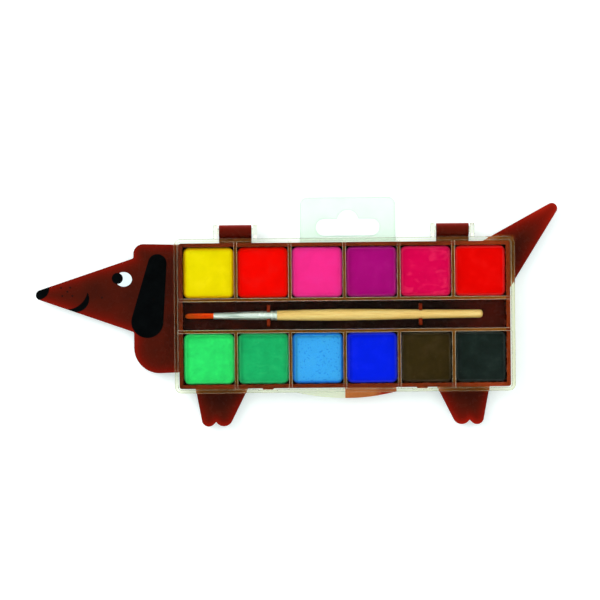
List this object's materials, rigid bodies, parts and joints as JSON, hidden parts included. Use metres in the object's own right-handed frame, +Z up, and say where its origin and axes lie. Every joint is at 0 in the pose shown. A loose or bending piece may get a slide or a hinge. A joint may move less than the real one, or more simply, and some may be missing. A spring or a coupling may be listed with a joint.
{
  "type": "watercolour paint set",
  "caption": "Flat paint box shaped like a dog, with square paint cakes, a brush in a central trough, a clear hinged lid and a hang tab.",
  "frame": {"origin": "middle of the tray's flat underside", "axes": "+X towards the tail, +Y towards the hinges and hang tab, +Z up through the lid"},
  "size_m": [0.2648, 0.1161, 0.0117],
  "materials": {
    "brown_plastic": "glossy translucent brown moulding",
    "clear_plastic": "clear moulded plastic",
    "clear_sheet": "clear plastic sheet",
    "wood": "pale lacquered wood",
    "ferrule_metal": "bright drawn metal",
    "hair": "reddish brush hair",
    "black_ink": "satin printed ink",
    "white_ink": "satin printed ink",
    "paint_yellow": "dry pressed watercolour paint",
    "paint_orange_red": "dry pressed watercolour paint",
    "paint_pink": "dry pressed watercolour paint",
    "paint_purple": "dry pressed watercolour paint",
    "paint_crimson": "dry pressed watercolour paint",
    "paint_red": "dry pressed watercolour paint",
    "paint_light_green": "dry pressed watercolour paint",
    "paint_green": "dry pressed watercolour paint",
    "paint_light_blue": "dry pressed watercolour paint",
    "paint_blue": "dry pressed watercolour paint",
    "paint_brown": "dry pressed watercolour paint",
    "paint_black": "dry pressed watercolour paint"
  },
  "bodies": {
    "base": {"base_tray": "brown_plastic", "long_dividers": "brown_plastic", "cross_dividers": "brown_plastic", "brush_clips": "brown_plastic", "head_plate": "brown_plastic", "front_foot": "brown_plastic", "hind_foot": "brown_plastic", "tail_plate": "brown_plastic", "thumb_plate": "brown_plastic", "hinge_knuckles": "brown_plastic", "hang_tab": "clear_sheet", "paint_yellow": "paint_yellow", "paint_orange_red": "paint_orange_red", "paint_pink": "paint_pink", "paint_purple": "paint_purple", "paint_crimson": "paint_crimson", "paint_red": "paint_red", "paint_light_green": "paint_light_green", "paint_green": "paint_green", "paint_light_blue": "paint_light_blue", "paint_blue": "paint_blue", "paint_brown": "paint_brown", "paint_black": "paint_black", "ear_print": "black_ink", "eye_white_print": "white_ink", "pupil_print": "black_ink", "nose_print": "black_ink", "smile_print": "black_ink", "freckle_prints": "black_ink"},
    "lid": {"lid": "clear_plastic"},
    "brush": {"brush_handle": "wood", "brush_ferrule": "ferrule_metal", "brush_bristles": "hair"}
  },
  "joints": [
    {"name": "lid_hinge", "type": "hinge", "parent": "base", "child": "lid", "pos_m": [0, 0.0428, 0.0063], "axis": [-1, 0, 0], "range_deg": [0, 180]},
    {"name": "brush_slide", "type": "slide", "parent": "base", "child": "brush", "axis": [1, 0, 0], "range_m": [-0.0005, 0.011]}
  ]
}
